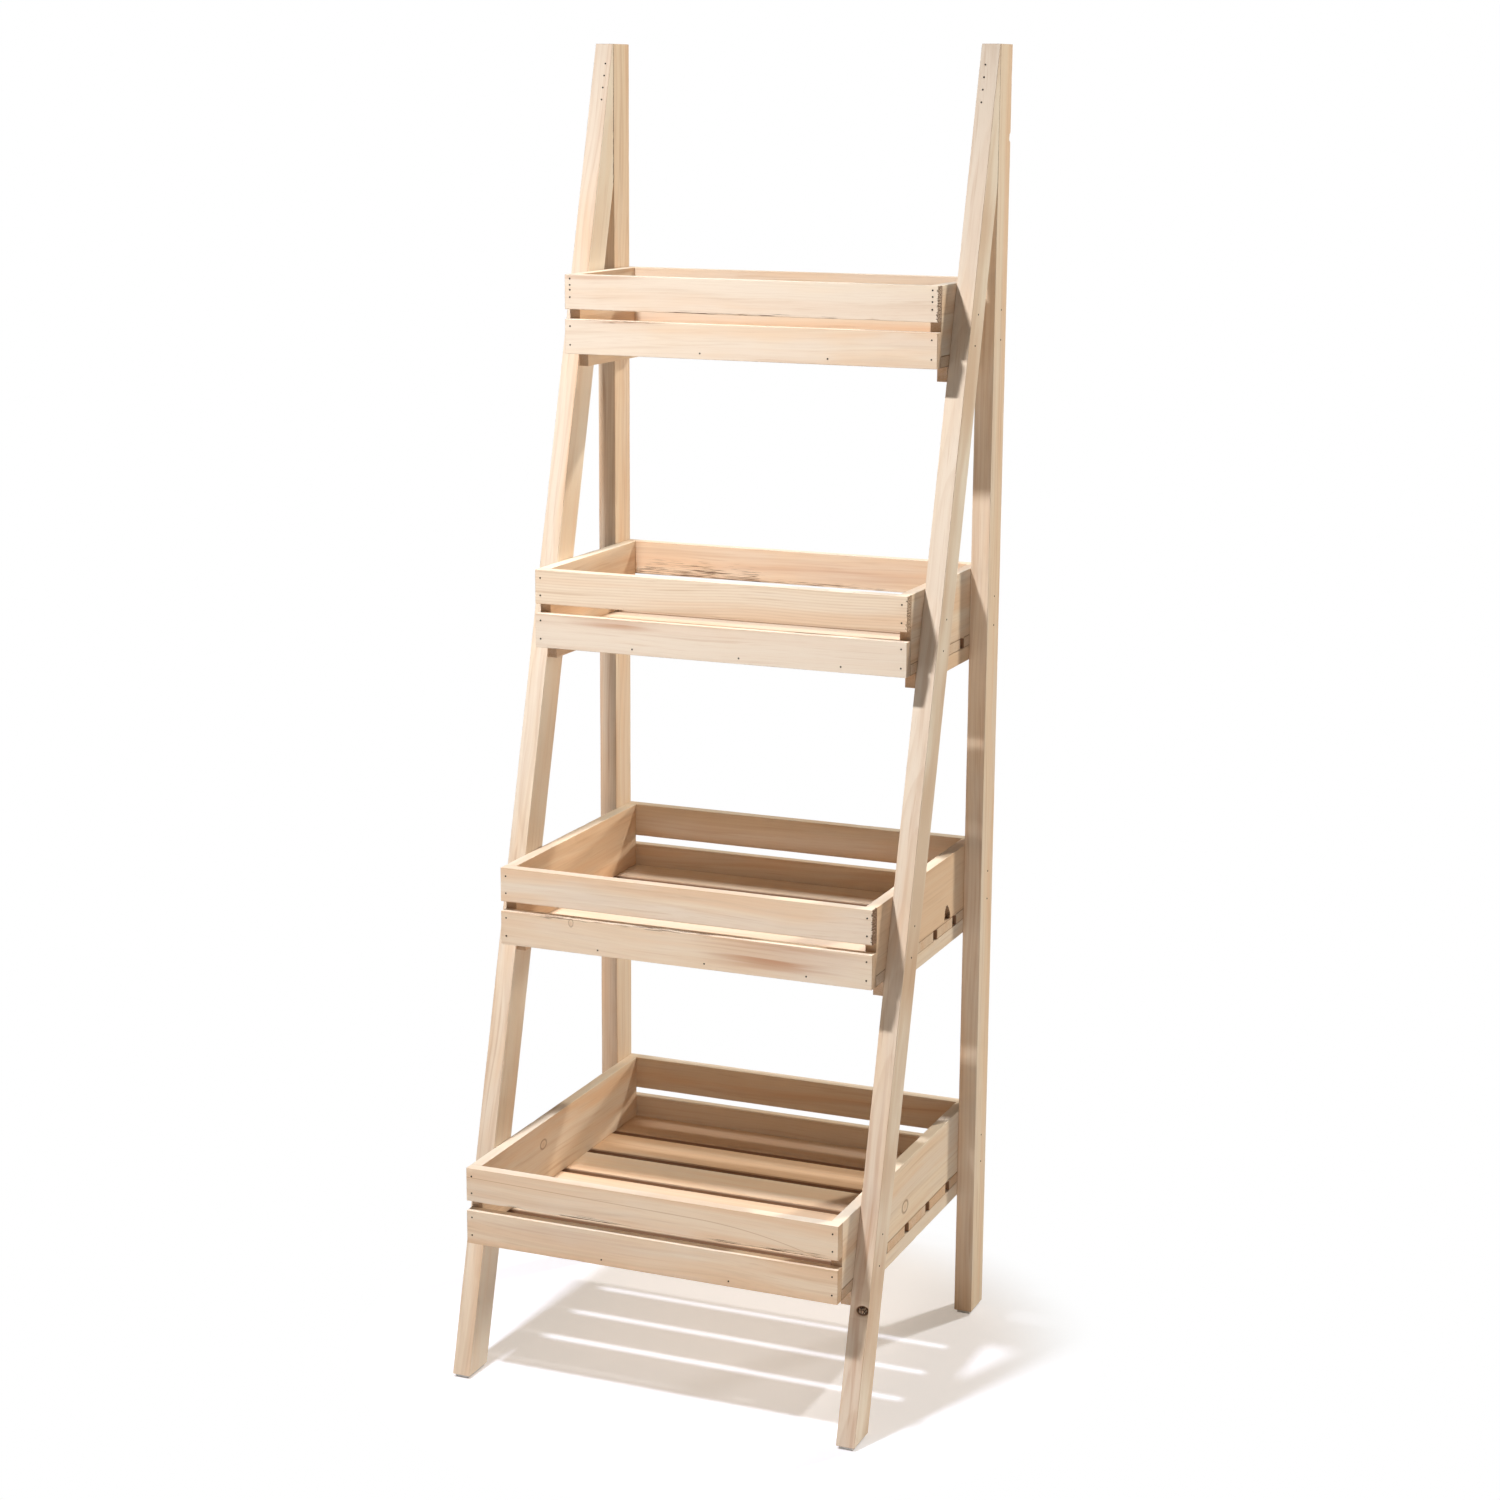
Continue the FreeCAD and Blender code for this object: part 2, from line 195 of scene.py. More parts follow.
def edge_wear(rng, w, length, chips):
    """Edge radius at each station, one column for each corner, as multiples of the usual radius.

    A slow wave, a few random nicks, and the board's own chips: bell shapes with a ragged top."""
    columns = []
    for corner in CORNERS:
        worn = 1 + EDGE_SWING_SHARE * wave(rng, w, EDGE_WAVE_LENGTH)
        for place in rng.uniform(-length, length, rng.integers(0, MOST_NICKS + 1)):
            nick = rng.uniform(LEAST_NICK_SHARE, 1) * NICK_DEPTH / EDGE_RADIUS
            worn += nick * np.exp(-((w - place) / NICK_REACH) ** 2)
        for chip in chips:
            if chip["corner"] == corner:
                ragged = 0.75 + 0.5 * wave(rng, w, RAGGED_LENGTH, 3)
                bell = np.exp(-((w - chip["at"]) / chip["reach"]) ** 4)
                worn += chip["depth"] / EDGE_RADIUS * ragged * bell
        columns.append(np.maximum(worn, LEAST_EDGE_SHARE))
    return np.stack(columns, 1)


print("edges: usual radius", 1000 * EDGE_RADIUS, "mm, nicks up to", 1000 * NICK_DEPTH, "mm")

# %% Run of a board
STATION = 0.005
FINE_STATION = 0.001
LEAST_STATIONS = 8
SAMPLE_HALF = (0.24, 0.021, 0.007)


def stations(length, close):
    """Places along a board: even steps, and fine steps round each flaw, given as place and reach."""
    even = np.linspace(-length, length, max(LEAST_STATIONS, int(2 * length / STATION)))
    fine = [np.arange(place - reach, place + reach, FINE_STATION) for place, reach in close]
    return np.unique(np.clip(np.concatenate([even, *fine]), -length, length))


def board_run(length, close):
    """How the grid runs from the middle of one end to the middle of the other, as four arrays.

    They are the place along, from -1 to 1, then the sideways and the endways part of the direction,
    which turns by a quarter circle at each end, and the section's size, which is halved at the
    ends, where a fan of faces closes the rest."""
    inner = stations(length, close) / length
    tip = np.radians(np.linspace(90, 0, ARC_STEPS + 1))
    along = np.concatenate([[-1] * (1 + ARC_STEPS), inner, [1] * (1 + ARC_STEPS)])
    side = np.concatenate([[0], np.cos(tip), np.ones(len(inner) - 2), np.cos(tip[::-1]), [0]])
    ends = np.concatenate([[-1], -np.sin(tip), np.zeros(len(inner) - 2), np.sin(tip[::-1]), [1]])
    full = np.concatenate([[0.5], np.ones(len(along) - 2), [0.5]])
    return along, side[:, None], ends[:, None], full[:, None]


print("run of a board:", len(board_run(SAMPLE_HALF[0], [])[0]), "stations on a slat")

# %% Board surface
# Metres, and a share of the board's half thickness or width.
CUP = 0.00012
CUP_WAVE_LENGTH = 0.35
MOST_EDGE_SHARE = 0.45
TINY = 0.0001


def board_surface(half, rng, section=plain_section, spread=None, close=(), chips=()):
    """Points, outward directions, edge flags and end flags of a board.

    Its half sizes are length, width and thickness. A corner's middle lies its radius inside the
    board, and a point is its share of the way between two such middles, plus the radius there
    times its direction. At the ends the direction tips from sideways to endways over a quarter
    circle, then the section shrinks towards the end's middle. Where the radius grows along the
    board, an edge's direction tips along it too. spread(w) gives a bar whose thickness and centre
    change with w."""
    length, width, thick = half
    corner, part, nu, nv, edge = section
    corner = corner.astype(int)
    right, upper = np.array(CORNERS).T
    along, side, ends, full = board_run(length, close)

    def hang(values):
        """Numbers of the four corners, carried to all points of the section by their shares."""
        return (1 - part) * values[:, corner] + part * values[:, (corner + 1) % 4]

    w = along * length
    worn = EDGE_RADIUS * edge_wear(rng, w, length, chips)
    centre, slope = 0, 0
    if spread is not None:
        centre, thick = (value[:, None] for value in spread(w))
        ahead, behind = np.array(spread(w + TINY)), np.array(spread(w - TINY))
        lean = (ahead - behind)[..., None] / (2 * TINY)
        slope = lean[0] + np.sign(nv) * lean[1]
    worn = np.minimum(worn, MOST_EDGE_SHARE * np.minimum(thick, width))
    change = np.zeros_like(worn)
    long_part = slice(1 + ARC_STEPS, -1 - ARC_STEPS)
    change[long_part] = np.gradient(worn[long_part], w[long_part], axis=0)
    bow = CUP * (0.5 + 0.5 * wave(rng, w[:, None], CUP_WAVE_LENGTH, 2)) * (1 - edge)
    swell = side * (hang(worn) - bow)
    tilt = edge * hang(change) * (np.abs(nu) + np.abs(nv) - 1)

    points = np.empty((*swell.shape, 3))
    points[..., 0] = along[:, None] * (length - EDGE_RADIUS) + ends * EDGE_RADIUS
    points[..., 1] = full * hang(right * (width - worn)) + swell * nu
    points[..., 2] = centre + full * hang(upper * (thick - worn)) + swell * nv
    normals = np.empty_like(points)
    normals[..., 0] = ends - side * (nv * slope - tilt)
    normals[..., 1] = side * nu
    normals[..., 2] = side * nv
    edges, caps = np.broadcast_arrays(edge, np.abs(ends))
    return points, normals, edges, caps


sample = board_surface(SAMPLE_HALF, np.random.default_rng(1))[0]
print("board grid:", sample.shape, "mm", np.round(1000 * (sample.max((0, 1)) - sample.min((0, 1))), 2))

# %% [markdown]
# Knots and notches change the finished grid. A knot's groove goes straight into its face, and
# the outward direction tips by the groove's slope, so that it catches the light as a real one
# does. A notch lifts everything below an arch up to the arch.

# %% Knots and notches
# Shares of a knot's size, of its groove's depth, and of a notch's height.
GROOVE_SHARE = 0.35
DOME_SHARE = 0.6
DOME_HEIGHT_SHARE = 0.5
NOTCH_LEAN_SHARE = 0.35
SQUARE_ON = 0.9


def press_knot(points, normals, knot):
    """Presses an oval groove into one face: deepest where the oval's radius is 1, fading as a bell.

    In the middle a wider bell is taken away: the points stay level there, and their directions show
    a low dome. Only points that look squarely out of the knot's face are changed."""
    def groove(w, u):
        radius = np.hypot((w - knot["w"]) / knot["size"][0], (u - knot["u"]) / knot["size"][1])
        ring = np.exp(-((radius - 1) / GROOVE_SHARE) ** 2)
        return knot["depth"] * (ring - DOME_HEIGHT_SHARE * np.exp(-(radius / DOME_SHARE) ** 2))

    w, u = points[..., 0], points[..., 1]
    on = normals[..., 2] * knot["face"] > SQUARE_ON
    points[..., 2] -= knot["face"] * np.where(on, np.maximum(groove(w, u), 0), 0)
    normals[..., 0] += np.where(on, groove(w + TINY, u) - groove(w - TINY, u), 0) / (2 * TINY)
    normals[..., 1] += np.where(on, groove(w, u + TINY) - groove(w, u - TINY), 0) / (2 * TINY)


def bite_notch(points, normals, notch, width):
    """Lifts the lower edge to an arch: height times the root of 1 less the square of the place.

    A straight slope makes the arch higher towards one side."""
    share = np.clip((points[..., 0] - notch["w"]) / notch["half_wide"], -1, 1)
    lean = 1 - NOTCH_LEAN_SHARE * share
    arch = -width + notch["high"] * np.sqrt(1 - share ** 2) * lean
    inside = (points[..., 1] < arch) & (np.abs(share) < 1)
    points[..., 1] = np.where(inside, arch, points[..., 1])
    normals[inside] = (0, -1, 0)
    return inside


print("shapes: groove and arch for", sorted({*KNOTS, *NOTCHES}))

# %% [markdown]
# ## From grid to mesh, with the log in mind
# A board is cut from a round log, so its lines are where the saw met the year rings. Painting
# stripes on each face would look false at the corners. Instead every point carries its place in
# the log: how far along, and how far from the heart of the tree, sideways and up. The heart
# runs a little askew to the board, which draws the long arches on the flat faces. The flaws'
# own coordinates are stored too, in units of their size, so that the finish can draw them finely.

# %% Mesh writer
# Each kind of board has its own axes in the rack: along it, across it and outwards.
AXES = {
    "slat": ((1, 0, 0), (0, 0, 1), (0, -1, 0)),
    "floor": ((1, 0, 0), (0, 1, 0), (0, 0, 1)),
    "side": ((0, 1, 0), (0, 0, 1), (1, 0, 0)),
    "post": ((0, 0, 1), (0, 1, 0), (-1, 0, 0)),
    "leg": ((0, 0, 1), (1, 0, 0), (0, 1, 0)),
}


def grid_faces(rows, columns):
    """Quads of a closed tube of rows by columns points, and two fans to the extra end points."""
    i, j = np.meshgrid(np.arange(rows - 1), np.arange(columns), indexing="ij")
    k = (j + 1) % columns
    quads = np.stack([i * columns + j, i * columns + k, (i + 1) * columns + k, (i + 1) * columns + j], -1)
    ring = np.arange(columns)
    turn = (ring + 1) % columns
    last = (rows - 1) * columns
    start = np.stack([np.full(columns, rows * columns), turn, ring], -1)
    finish = np.stack([np.full(columns, rows * columns + 1), last + ring, last + turn], -1)
    return quads.reshape(-1, 4).tolist() + start.tolist() + finish.tolist()


def add_vector(mesh, name, values):
    """Stores one vector for each point of the mesh."""
    layer = mesh.attributes.new(name, "FLOAT_VECTOR", "POINT")
    layer.data.foreach_set("vector", np.asarray(values, np.float32).ravel())


print("mesh writer: a tube of 3 by 4 points has", len(grid_faces(3, 4)), "faces")

# %% Place in the log
# A slope, and metres.
HEART_SLOPE = 0.012
HEART_SWAY = 0.003
SWAY_LENGTH = 0.6
LOG_RUN = 40


def log_place(grain, rng, cut):
    """Where each point lay in the log: along it, and across from its heart in two directions.

    cut is the direction to the heart, as an angle in the board's section, and how far it is. The
    heart drifts sideways along the board, at a small slope and in slow waves."""
    angle, reach = cut
    drift = rng.normal(0, HEART_SLOPE, 2)
    heart = grain.copy()
    heart[:, 0] += rng.uniform(0, LOG_RUN)
    for axis, direction in ((1, math.cos(angle)), (2, math.sin(angle))):
        slow = HEART_SWAY * wave(rng, grain[:, 0], SWAY_LENGTH, 2)
        heart[:, axis] -= reach * direction + drift[axis - 1] * grain[:, 0] + slow
    return heart


def leaning_axes(lean):
    """Along, across and through a bar that leans back by an angle."""
    return np.array([(0, math.sin(lean), math.cos(lean)), (0, math.cos(lean), -math.sin(lean)), (1, 0, 0)])


print("log: the heart sways by", 1000 * HEART_SWAY, "mm")

# %% Place beside a flaw
# Where a board has no flaw: far off in the flaw's own sizes, with no darkness.
FAR = (9.0, 9.0, 0.0)
FAR_FROM_ARCH = 99.0
# Metres.
ARCH_UNIT = 0.001
SCAR_FADE = 0.02
SCAR_WAVE_LENGTH = 0.11
ROUGH_END = 0.0025
ROUGH_END_FADE = 0.002


def flaw_place(local, flaw, facing):
    """Place beside a flaw, along and across in units of its size, and the flaw's darkness there.

    facing tells which way each point lies or looks: a flaw shows where that agrees with its face."""
    if flaw is None:
        return np.broadcast_to(FAR, local.shape)
    w, u = (local[:, 0] - flaw["w"]) / flaw["size"][0], (local[:, 1] - flaw["u"]) / flaw["size"][1]
    shown = flaw["dark"] * (facing * flaw.get("face", 1) > 0)
    return np.stack([w, u, shown], 1)


def scar_amount(local, half, scars, rough_end, rng):
    """How torn the wood is: near an edge, between two places along it, and at a rough end."""
    length, width, _ = half
    total = np.zeros(len(local))
    for scar in scars:
        after = np.clip((local[:, 0] - scar["start"]) / SCAR_FADE, 0, 1)
        before = np.clip((scar["stop"] - local[:, 0]) / SCAR_FADE, 0, 1)
        near = np.clip(1 - (width - local[:, 1] * scar["edge"]) / scar["deep"], 0, 1)
        patchy = 0.8 + 0.25 * wave(rng, local[:, 0], SCAR_WAVE_LENGTH, 3)
        shown = local[:, 2] * scar["face"] > 0
        total = np.maximum(total, scar["dark"] * (after * before) * near * patchy * shown)
    at_end = np.clip((local[:, 0] - (length - ROUGH_END)) / ROUGH_END_FADE, 0, 1)
    return np.maximum(total, rough_end * at_end)


def arch_line(local, half, arch, sawn):
    """How far a point lies above one long year line that falls slowly, then curves down to the end.

    The distance is in millimetres, and the line falls by a straight slope plus the square of the
    way past its start. The third number is 1 on floor slats, whose narrow sides and end edges get painted
    shade."""
    if arch is None:
        return np.broadcast_to((FAR_FROM_ARCH, 0.0, sawn), local.shape)
    run = np.clip((local[:, 0] - arch["start"]) / arch["run"], 0, None)
    level = 2 * half[1] * (arch["level"] - arch["tilt"] * local[:, 0] - arch["fall"] * run ** 2) - half[1]
    above = (local[:, 1] - level) / ARCH_UNIT
    return np.stack([above, np.full_like(run, arch["dark"]), np.full_like(run, sawn)], 1)


print("flaws: scars fade over", 1000 * SCAR_FADE, "mm")

# %% [markdown]
# ## A board's mesh
# The grid, its flaws and the places that its points carry come together in one mesh. The
# directions from the formulas go in as its normals, so a flat face shades flat and an edge of
# three steps shades round. Smooth shading alone would make the flat faces look swollen.

# %% Flaws on their board
# How far fine steps reach round a flaw: in metres, or in its reaches, sizes or half widths.
ROUGH_END_REACH = 0.004
CHIP_REACHES = 2
KNOT_SIZES = 3
NOTCH_HALVES = 1.4


def on_board(flaw, axes, middle):
    """A flaw with its own place on its board (w along, u across), from its place in the rack."""
    if flaw is None:
        return None
    return {**flaw, "w": flaw["along"] - axes[0] @ middle, "u": flaw["across"] - axes[1] @ middle}


def board_flaws(node, axes, middle, length):
    """The flaws of a board with their places on it, and the stretches that need fine steps."""
    shift = axes[0] @ middle
    knot, blot = (on_board(table.get(node), axes, middle) for table in (KNOTS, BLOTS))
    chips = [{**chip, "at": chip["along"] - shift} for chip in CHIPS.get(node, [])]
    scars = [{**scar, "start": scar["start"] - shift, "stop": scar["stop"] - shift}
             for scar in SCARS.get(node, [])]
    close = [(chip["at"], CHIP_REACHES * chip["reach"]) for chip in chips]
    if knot:
        close.append((knot["w"], KNOT_SIZES * knot["size"][0]))
    notch = NOTCHES.get(node)
    if notch:
        notch = {**notch, "w": notch["along"] - shift}
        close.append((notch["w"], NOTCH_HALVES * notch["half_wide"]))
    if node in ROUGH_ENDS:
        close.append((length, ROUGH_END_REACH))
    return SimpleNamespace(knot=knot, blot=blot, notch=notch, chips=chips, scars=scars, close=close)


print("placed flaws: ready for", len(flawed), "boards")

# %% Board mesh
# How dark the seam is made where a leg lies on its post.
SEAM_DARKNESS = 1.6
SEAM_DEEP = 0.002
# How well a direction has to agree with an axis to count as looking that way.
SIDEWAYS = 0.5
OUTWARDS = 0.3


def mood_places(node, mood, local, direction, length):
    """The board's mood at each point: its outer side may have its own, and its top may drift."""
    outer = direction[:, [1]] > SIDEWAYS
    rise = np.clip(local[:, [0]] / length, 0, 1) * np.array(PALER_TOPS.get(node, (0, 0, 0)))
    return np.where(outer, TAN_SIDES.get(node, mood), mood + rise)


def torn_places(node, flaws, local, half, torn, seam, rng):
    """How torn or dark each point is: scars, the broken faces of a notch, and the darker seam of a leg."""
    scar = scar_amount(local, half, flaws.scars, ROUGH_ENDS.get(node, 0), rng)
    scar[:-2] = np.maximum(scar[:-2], torn.ravel())
    scar[:-2] = np.maximum(scar[:-2], SEAM_DARKNESS * seam.ravel())
    return scar


def board_mesh(node, kind, middle, half, rng, mood, cut, spread=None, lean=0.0):
    """A board as a mesh, whose points carry their places in the log, on it and beside its flaws."""
    axes = np.array(AXES[kind], float)
    flaws = board_flaws(node, axes, middle, half[0])
    section = fine_section if node in flawed else plain_section
    points, normals, edges, caps = board_surface(half, rng, section, spread, flaws.close, flaws.chips)
    torn = np.zeros(edges.shape, bool)
    if flaws.knot:
        press_knot(points, normals, flaws.knot)
    if flaws.notch:
        torn = bite_notch(points, normals, flaws.notch, half[1])

    local = np.concatenate([points.reshape(-1, 3), points[[0, -1]].mean(1)])
    direction = np.concatenate([normals.reshape(-1, 3), [[-1.0, 0, 0], [1.0, 0, 0]]])
    direction /= np.linalg.norm(direction, axis=1)[:, None]
    place = local @ axes + middle
    mesh = bpy.data.meshes.new(node)
    mesh.from_pydata(place.tolist(), [], grid_faces(*edges.shape))
    mesh.polygons.foreach_set("use_smooth", [True] * len(mesh.polygons))
    mesh.normals_split_custom_set_from_vertices((direction @ axes).tolist())

    seam = np.zeros(edges.size, bool)
    if spread is not None:
        seam = (place[:-2, 1] > place[:, 1].max() - SEAM_DEEP) & (edges.ravel() > 0)
    scar = torn_places(node, flaws, local, half, torn, seam, rng)
    marks = [np.append(edges.ravel(), [0, 0]), np.append(caps.ravel(), [1, 1]), scar]
    grain = (place - middle) @ (leaning_axes(lean) if lean else axes).T
    facing = np.where(np.abs(direction[:, 2]) > OUTWARDS, direction[:, 2], 0)
    add_vector(mesh, "grain", grain)
    add_vector(mesh, "heart", log_place(grain, rng, cut))
    add_vector(mesh, "share", local / np.array(half))
    add_vector(mesh, "marks", np.stack(marks, 1))
    add_vector(mesh, "mood", mood_places(node, mood, local, direction, half[0]))
    add_vector(mesh, "knot", flaw_place(local, flaws.knot, facing))
    add_vector(mesh, "blot", flaw_place(local, flaws.blot, local[:, 2]))
    # The arch's third number marks floor slats, which get painted shade in their gaps.
    add_vector(mesh, "arch", arch_line(local, half, ARCHED.get(node), float(kind == "floor")))
    return mesh


print("board mesh: kinds", sorted(AXES))

# %% [markdown]
# ## Shader sums as plain expressions
# Node trees for wood are long sums. This small class wraps a socket, so that `1 - mask * 0.3`
# adds the Math nodes by itself, and one method adds any other node.

# %% Shader expressions
class Wire:
    """A socket that takes part in sums: each operator adds one Math node."""

    def __init__(self, tree, socket=None):
        self.tree = tree
        self.socket = socket

    def node(self, kind, settings=None, inputs=None, output=0):
        """A new node: settings first, then each input is linked or given its value."""
        made = self.tree.nodes.new(kind)
        for key, value in (settings or {}).items():
            setattr(made, key, value)
        for key, value in (inputs or {}).items():
            if isinstance(value, Wire):
                self.tree.links.new(value.socket, made.inputs[key])
            else:
                made.inputs[key].default_value = value
        return Wire(self.tree, made.outputs[output])

    def maths(self, operation, *values):
        """One Math node on these values."""
        return self.node("ShaderNodeMath", {"operation": operation}, dict(enumerate(values)))

    def __add__(self, other):
        return self.maths("ADD", self, other)

    __radd__ = __add__

    def __mul__(self, other):
        return self.maths("MULTIPLY", self, other)

    __rmul__ = __mul__

    def __sub__(self, other):
        return self.maths("SUBTRACT", self, other)

    def __rsub__(self, other):
        return self.maths("SUBTRACT", other, self)

    def __truediv__(self, other):
        return self.maths("DIVIDE", self, other)

    def __rtruediv__(self, other):
        return self.maths("DIVIDE", other, self)

    def power(self, exponent):
        """This number to a power."""
        return self.maths("POWER", self, exponent)

    def size(self):
        """This number without its sign."""
        return self.maths("ABSOLUTE", self)

    def fraction(self):
        """What this number has after its point."""
        return self.maths("FRACT", self)

    def reach(self, other):
        """How far a point at these two places is from 0: the root of the sum of their squares."""
        return (self * self + other * other).power(0.5)

    def between(self, low, high):
        """0 below low, 1 above high, and a smooth rise between them."""
        settings = {"interpolation_type": "SMOOTHSTEP"}
        return self.node("ShaderNodeMapRange", settings, {"Value": self, "From Min": low, "From Max": high})

    def scaled(self, x, y, z):
        """This vector with each part multiplied by its own number."""
        return self.node("ShaderNodeVectorMath", {"operation": "MULTIPLY"}, {0: self, 1: (x, y, z)})

    def noise(self, detail=2.0, rough=0.5):
        """Soft random values about 0.5, one unit of this vector apart."""
        inputs = {"Vector": self, "Scale": 1.0, "Detail": detail, "Roughness": rough}
        return self.node("ShaderNodeTexNoise", {}, inputs)

    def parts(self):
        """The three numbers of this vector."""
        made = self.tree.nodes.new("ShaderNodeSeparateXYZ")
        self.tree.links.new(self.socket, made.inputs[0])
        return [Wire(self.tree, socket) for socket in made.outputs]

    def blend(self, factor, first, second):
        """A colour between two others."""
        return self.node("ShaderNodeMix", {"data_type": "RGBA"}, {0: factor, 6: first, 7: second}, 2)

    def toward(self, factor, other):
        """This colour mixed towards another by a factor."""
        return self.blend(factor, self, other)


def layered(colour, *layers):
    """A colour with others laid over it in turn, each as strong as its mask."""
    for mask, over in layers:
        colour = colour.toward(mask, over)
    return colour


def tone(red, green, blue):
    """A colour given as screen values from 0 to 255, as the light values that shaders use."""
    values = np.array([red, green, blue]) / 255
    light = np.where(values <= 0.04045, values / 12.92, ((values + 0.055) / 1.055) ** 2.4)
    return (*light.tolist(), 1.0)


def new_material(name):
    """An empty material: its tree, its surface shader and a wire to start expressions from."""
    material = bpy.data.materials.new(name)
    material.use_nodes = True
    tree = material.node_tree
    return material, tree, tree.nodes["Principled BSDF"], Wire(tree)


print("shader expressions: ready")

# %% [markdown]
# ## Limed softwood
# The wood is spruce or pine with a thin pale wash, rubbed off again: cream where the wash
# stayed, peach and tan where the wood shows. Late wood, the hard part of each year ring, takes
# less wash and shows as a fine darker line. Fine fibres run along the board and lift the
# surface slightly. End grain drinks the wash and goes darker, and so do knots and torn edges.
# The top edges of the boards are chalky, which is partly a painted highlight where light
# catches them. The narrow sides and the end edges of the floor slats are painted shade,
# brown where the gaps between the slats lie in shadow, and the seam where a leg meets its
# post is darker.
#
# A picture of wood would repeat, and would break at the edges. Here one material serves all
# boards, and what tells them apart is stored on their meshes. A mood is three numbers: how tan
# the board is, how plain its ring lines are, and how much pale wash it kept.

# %% Wood patterns
# Soft random patterns: what they follow, steps a metre along and across, detail and roughness.
PATTERNS = {
    "wander": ("heart", 2.2, 22, 3.0, 0.5),
    "streak": ("heart", 1.1, 34, 3.0, 0.55),
    "haze": ("heart", 3.2, 20, 3.0, 0.6),
    "vein": ("heart", 2.6, 120, 2.0, 0.55),
    "fibre": ("heart", 22, 900, 2.0, 0.6),
    "thread": ("heart", 6, 240, 2.0, 0.5),
    "fleck": ("grain", 300, 620, 2.0, 0.6),
    "dash": ("grain", 30, 1500, 2.0, 0.6),
}
# The numbers of each vector that a board's points carry.
CARRIED = {
    "marks": ("edge", "end", "scar"),
    "mood": ("tan", "lines", "wash"),
    "knot": ("knot_along", "knot_across", "knot"),
    "blot": ("blot_along", "blot_across", "blot"),
    "arch": ("from_arch", "arch", "sawn"),
    "share": ("share_along", "share_across", "share_up"),
}


def wood_wires(start):
    """What a board's points carry, and the patterns that follow from it, each under its name."""
    def stored(attribute):
        return start.node("ShaderNodeAttribute", {"attribute_name": attribute}, output="Vector")

    wires = {"heart": stored("heart"), "grain": stored("grain")}
    for attribute, names in CARRIED.items():
        wires.update(zip(names, stored(attribute).parts()))
    for name, (follows, along, across, detail, rough) in PATTERNS.items():
        wires[name] = wires[follows].scaled(along, across, across).noise(detail, rough)
    wood = SimpleNamespace(**wires)
    wood.knot_radius = wood.knot_along.reach(wood.knot_across)
    wood.blot_radius = wood.blot_along.reach(wood.blot_across)
    return wood


print("wood patterns:", sorted(PATTERNS))

# %% Wood colours
CREAM = tone(233, 213, 190)
PEACH = tone(228, 196, 166)
WASH = tone(229, 215, 200)
SAND = tone(215, 182, 148)
TAN = tone(190, 150, 115)
ROSE = tone(192, 146, 116)
# Chalk for the top edges, partly a painted highlight.
CHALK_HIGHLIGHT = tone(240, 229, 214)
BROWN = tone(126, 86, 56)
DARK = tone(66, 52, 42)
RING_WIDTH = 0.0036
RING_WANDER = 0.005
KNOT_BEND = 0.005


def late_wood(wood):
    """The hard part of each ring: distance from the log's heart over the ring width, its last part.

    A soft pattern lets the rings wander, and a knot pushes them outwards."""
    _, across, up = wood.heart.parts()
    near_knot = (1 - wood.knot_radius.between(0.6, 3.2)) * wood.knot.between(0, 0.3)
    distance = across.reach(up) + (wood.wander - 0.5) * RING_WANDER + near_knot * KNOT_BEND
    phase = (distance / RING_WIDTH).fraction()
    return phase.power(3.0) * (1 - phase.power(16.0))


def grown_layers(wood, late):
    """Tan by the board's mood, pale where the wash stayed, then veins, rings, fibres and threads."""
    return [
        (wood.tan.between(0.0, 1.6) * 0.45, SAND),
        (wood.tan.between(1.3, 3.0) * 0.6, TAN),
        ((wood.haze + wood.wash * 0.16).between(0.46, 0.68) * 0.65, WASH),
        (wood.vein.between(0.50, 0.72) * (0.20 + wood.lines * 0.15), TAN),
        (late * (0.06 + wood.lines * 0.34), TAN),
        (wood.fibre.between(0.5, 0.8) * 0.18, TAN),
        (wood.thread.between(0.60, 0.76) * (0.26 + wood.lines * 0.2), TAN),
    ]


def flaw_layers(wood):
    """Blot, arch and knot: masks of the distance from each, in its own sizes."""
    soft = (1 - wood.blot_radius.between(0.1, 1.0)) * wood.blot
    ring = wood.knot_radius.between(0.66, 0.92) * (1 - wood.knot_radius.between(1.0, 1.3))
    core = wood.knot.between(0.9, 1.3) * (1 - wood.knot_radius.between(0.8, 1.25))
    return [
        (soft * (0.4 + 0.9 * wood.vein.between(0.42, 0.6)), ROSE),
        ((1 - wood.from_arch.size().between(0.2, 0.75)) * wood.arch, TAN),
        ((1 - wood.knot_radius.between(0.1, 0.9)) * wood.knot * 0.55, TAN),
        (ring * wood.knot * 0.8, BROWN),
        (core * wood.fleck.between(0.36, 0.56), DARK),
    ]


def edge_layers(wood):
    """Rubbed edges, darker ends, chalky top edges that are partly a painted highlight, and painted shade on
    the narrow sides and end edges of floor slats.
    """
    # Partly a painted highlight: a chalky pale line along each board's top edge.
    chalk_highlight_rim = wood.share_across.between(0.985, 0.999) * (1 - wood.sawn)
    # Painted shade on the narrow sides of floor slats, where the gaps between them lie in shadow.
    gap_side_shade = wood.share_across.size().between(0.965, 0.99) * (1 - wood.share_up.between(0.55, 0.92))
    return [
        (wood.edge * wood.streak.between(0.46, 0.62) * 0.3, TAN),
        (wood.end * (0.30 + wood.fibre.between(0.4, 0.7) * 0.3), TAN),
        (wood.end * (1 - wood.sawn) * 0.22, BROWN),
        (chalk_highlight_rim * (0.45 + 0.4 * wood.haze.between(0.4, 0.6)), CHALK_HIGHLIGHT),
        # Painted shade: the narrow sides of floor slats in their gaps, and the top and bottom edges of their
        # ends.
        (wood.sawn * gap_side_shade * 0.85, BROWN),
        (wood.sawn * wood.end * wood.share_up.size().between(0.78, 0.92) * 0.75, BROWN),
    ]


print("wood colours: ready")


